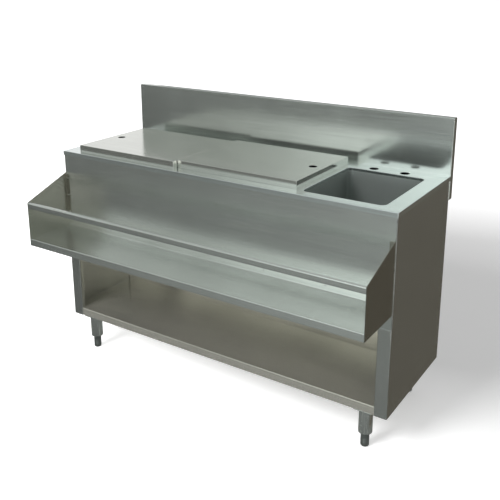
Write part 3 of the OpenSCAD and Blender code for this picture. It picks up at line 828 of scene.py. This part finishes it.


# Studio: white floor that keeps the shadow, white surroundings, one soft lamp, and glowing cards that
# paint reflections into the metal
studio = {
    "floorSide": 60.0,
    "floorColour": (232, 232, 232),
    # Painted shade: the lift is least within liftReach of liftCentre, behind and right of the station
    # where its real shadow falls, so the floor there stays darker while it whitens further off
    "liftNear": 0.22,     # added to the floor beside the station, as the camera sees it
    "liftFar": 0.95,
    "liftCentre": (0.45, 1.10, 0.0),
    "liftReach": (0.65, 1.9),
    "worldLight": 0.38,
    "lamps": {
        "keyLamp": {"place": (-1.1, -4.6, 4.0), "aim": (0.2, 0, 0.1), "side": 2.0, "watts": 300},
    },
    "cardLift": 0.002,    # height of the floor cards, in metres as all here
    "wallTop": 4.2,
    "ceiling": 5.5,
    # Grey cards round the set glow and show only in the metal: they cast no shade and light nothing,
    # and paint dark and bright reflections into the steel.
    # "floor" gives x from, x to, y from, y to; "across" gives y, x from, x to;
    # "along" gives x, y from, y to; "over" gives the ceiling's half side
    "reflectionCards": {
        "frontFloorCard": {"floor": (-7.0, 1.4, -7.0, -0.13), "glow": (0.142, 0.149, 0.142),
                           "glowFar": (0.37, 0.394, 0.380), "blend": (-1.7, 0.6),
                           "near": (-0.3, -1.9, 0.46, 1.0)},
        "underCard": {"floor": (-0.62, 0.62, -0.13, 0.32), "glow": (0.17, 0.18, 0.17)},
        "leftCard": {"floor": (-7.0, -0.62, -0.13, 7.0), "glow": (0.24, 0.26, 0.25)},
        "rightCard": {"floor": (0.62, 7.0, -0.13, 7.0), "glow": (0.115, 0.105, 0.085)},
        "frontWallCard": {"across": (-7.0, -12.0, 4.0), "glow": (0.44, 0.46, 0.44),
                          "glowFar": (1.55, 1.65, 1.63), "blend": (-5.0, -1.8)},
        "rightWallCard": {"along": (7.0, -7.0, 7.0), "glow": (0.40, 0.42, 0.41)},
        "leftWallCard": {"along": (-12.0, -7.0, 7.0), "glow": (0.40, 0.42, 0.41)},
        "ceilingCard": {"over": 9.0, "glow": (0.50, 0.52, 0.51)},
        "backWallCard": {"across": (7.0, -6.2, 4.0), "glow": (0.38, 0.40, 0.39)},
    },
}


def newObject(name, mesh):
    o = bpy.data.objects.new(name, mesh)
    bpy.context.scene.collection.objects.link(o)
    return o


def seenRay(t):
    path = t.add("ShaderNodeLightPath").outputs
    mirrored = t.math("MAXIMUM", path["Is Glossy Ray"], path["Is Transmission Ray"])
    return t.math("MAXIMUM", path["Is Camera Ray"], mirrored)


def makeStudio(s):
    scene = bpy.context.scene
    world = bpy.data.worlds.new("studioWorld")
    scene.world = world
    t = Tree(world)
    strength = t.ramp(seenRay(t), (0.0, 1.0, s["worldLight"], 1.0))
    back = t.add("ShaderNodeBackground", {"Color": (1, 1, 1, 1), "Strength": strength})
    t.add("ShaderNodeOutputWorld", {"Surface": back.outputs[0]})

    floorMesh = bpy.data.meshes.new("studioFloor")
    half = s["floorSide"] / 2
    floorMesh.from_pydata([(-half, -half, 0), (half, -half, 0), (half, half, 0), (-half, half, 0)],
                          [], [(0, 1, 2, 3)])
    newObject("studioFloor", floorMesh)
    mat = bpy.data.materials.new("studioFloor")
    t = Tree(mat)
    place = t.add("ShaderNodeTexCoord").outputs["Object"]
    # Painted shade round liftCentre: a weaker lift there deepens the cast shadow
    away = t.add("ShaderNodeVectorMath", {0: place, 1: s["liftCentre"]}, operation="DISTANCE")
    lift = t.ramp(away.outputs["Value"], s["liftReach"] + (s["liftNear"], s["liftFar"]))
    diffuse = t.add("ShaderNodeBsdfDiffuse", {"Color": srgb(*s["floorColour"])})
    glow = t.add("ShaderNodeEmission", {"Color": (1, 1, 1, 1),
                                        "Strength": t.math("MULTIPLY", seenRay(t), lift)})
    both = t.add("ShaderNodeAddShader", {0: diffuse.outputs[0], 1: glow.outputs[0]})
    t.add("ShaderNodeOutputMaterial", {"Surface": both.outputs[0]})
    floorMesh.materials.append(mat)

    for name, lamp in s["lamps"].items():
        light = bpy.data.lights.new(name, "AREA")
        light.size = lamp["side"]
        light.energy = lamp["watts"]
        o = bpy.data.objects.new(name, light)
        scene.collection.objects.link(o)
        o.location = lamp["place"]
        aim = Vector(lamp["aim"]) - Vector(lamp["place"])
        o.rotation_euler = aim.to_track_quat("-Z", "Y").to_euler()
        o.visible_glossy = False


def cardCorners(card, s):
    if "floor" in card:
        x0, x1, y0, y1 = card["floor"]
        return atHeight([(x0, y0), (x1, y0), (x1, y1), (x0, y1)], s["cardLift"])
    if "over" in card:
        half = card["over"]
        return atHeight([(-half, -half), (-half, half), (half, half), (half, -half)], s["ceiling"])
    heights = (0.0, 0.0, s["wallTop"], s["wallTop"])
    if "across" in card:
        y, x0, x1 = card["across"]
        return [(x, y, z) for x, z in zip((x0, x1, x1, x0), heights)]
    x, y0, y1 = card["along"]
    return [(x, y, z) for y, z in zip((y0, y1, y1, y0), heights)]


# A glowing plane that only reflections see: a painted reflection in the metal
def makeReflectionCard(name, card, s):
    mesh = bpy.data.meshes.new(name)
    mesh.from_pydata(cardCorners(card, s), [], [(0, 1, 2, 3)])
    o = newObject(name, mesh)
    mat = bpy.data.materials.new(name)
    t = Tree(mat)
    place = t.add("ShaderNodeSeparateXYZ", {0: t.add("ShaderNodeTexCoord").outputs["Object"]}).outputs
    tone = card["glow"] + (1.0,)
    if "glowFar" in card:
        share = t.ramp(place[0], card["blend"] + (0.0, 1.0))
        tone = t.mixColour(share, tone, card["glowFar"] + (1.0,))
    # A card with "near" glows less towards the station: a painted shade of the floor beside it, seen in
    # the metal
    strength = t.ramp(place[1], card["near"]) if "near" in card else 1.0
    glow = t.add("ShaderNodeEmission", {"Color": tone, "Strength": strength})
    t.add("ShaderNodeOutputMaterial", {"Surface": glow.outputs[0]})
    mesh.materials.append(mat)
    o.visible_camera = False
    o.visible_diffuse = False
    o.visible_shadow = False
    o.visible_transmission = False


makeStudio(studio)
for name, card in studio["reflectionCards"].items():
    makeReflectionCard(name, card, studio)
print("bar station: studio ready")
